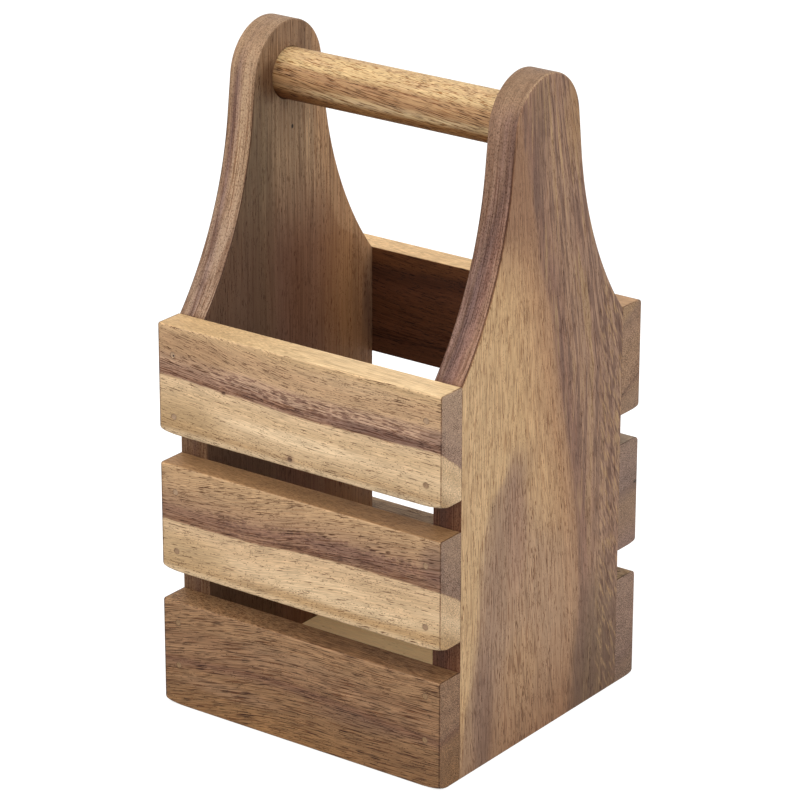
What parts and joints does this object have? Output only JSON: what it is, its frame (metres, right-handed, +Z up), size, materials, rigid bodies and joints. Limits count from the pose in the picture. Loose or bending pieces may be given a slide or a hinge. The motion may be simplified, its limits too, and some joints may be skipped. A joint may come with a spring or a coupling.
{
  "type": "cutlery holder",
  "caption": "Slatted wooden caddy for upright cutlery, with bell-shaped end panels and a round carrying handle between their crowns.",
  "frame": {"origin": "middle of the footprint, on the surface that the holder stands on", "axes": "+Z up, +X along the handle and the slats towards the right end panel, +Y from the front slats to the rear slats"},
  "size_m": [0.125, 0.124, 0.2491],
  "materials": {
    "panel_wood": "oiled satin, brown and tan figure",
    "handle_wood": "oiled satin, open pores",
    "base_wood": "plain sanded",
    "bottom_slat_wood": "oiled satin, walnut brown",
    "middle_slat_wood": "oiled satin, tan with a brown band",
    "top_slat_wood": "oiled satin, tan with a brown streak",
    "brad_steel": "bright drawn wire",
    "wood_filler": "matt"
  },
  "bodies": {
    "root": {"left_end_panel": "panel_wood", "right_end_panel": "panel_wood", "handle_dowel": "handle_wood", "base_board": "base_wood", "front_slat_bottom": "bottom_slat_wood", "front_slat_middle": "middle_slat_wood", "front_slat_top": "top_slat_wood", "rear_slat_bottom": "bottom_slat_wood", "rear_slat_middle": "middle_slat_wood", "rear_slat_top": "top_slat_wood", "brad_front_bottom_left_upper": "brad_steel", "brad_front_bottom_left_lower": "brad_steel", "brad_front_bottom_right_upper": "brad_steel", "brad_front_bottom_right_lower": "brad_steel", "brad_front_middle_left_upper": "brad_steel", "brad_front_middle_left_lower": "brad_steel", "brad_front_middle_right_upper": "brad_steel", "brad_front_middle_right_lower": "brad_steel", "brad_front_top_left_upper": "brad_steel", "brad_front_top_left_lower": "brad_steel", "brad_front_top_right_upper": "brad_steel", "brad_front_top_right_lower": "brad_steel", "brad_rear_bottom_left_upper": "brad_steel", "brad_rear_bottom_left_lower": "brad_steel", "brad_rear_bottom_right_upper": "brad_steel", "brad_rear_bottom_right_lower": "brad_steel", "brad_rear_middle_left_upper": "brad_steel", "brad_rear_middle_left_lower": "brad_steel", "brad_rear_middle_right_upper": "brad_steel", "brad_rear_middle_right_lower": "brad_steel", "brad_rear_top_left_upper": "brad_steel", "brad_rear_top_left_lower": "brad_steel", "brad_rear_top_right_upper": "brad_steel", "brad_rear_top_right_lower": "brad_steel", "filler_front_bottom_left_upper": "wood_filler", "filler_front_bottom_left_lower": "wood_filler", "filler_front_bottom_right_upper": "wood_filler", "filler_front_bottom_right_lower": "wood_filler", "filler_front_middle_left_upper": "wood_filler", "filler_front_middle_left_lower": "wood_filler", "filler_front_middle_right_upper": "wood_filler", "filler_front_middle_right_lower": "wood_filler", "filler_front_top_left_upper": "wood_filler", "filler_front_top_left_lower": "wood_filler", "filler_front_top_right_upper": "wood_filler", "filler_front_top_right_lower": "wood_filler", "filler_rear_bottom_left_upper": "wood_filler", "filler_rear_bottom_left_lower": "wood_filler", "filler_rear_bottom_right_upper": "wood_filler", "filler_rear_bottom_right_lower": "wood_filler", "filler_rear_middle_left_upper": "wood_filler", "filler_rear_middle_left_lower": "wood_filler", "filler_rear_middle_right_upper": "wood_filler", "filler_rear_middle_right_lower": "wood_filler", "filler_rear_top_left_upper": "wood_filler", "filler_rear_top_left_lower": "wood_filler", "filler_rear_top_right_upper": "wood_filler", "filler_rear_top_right_lower": "wood_filler"}
  },
  "joints": []
}
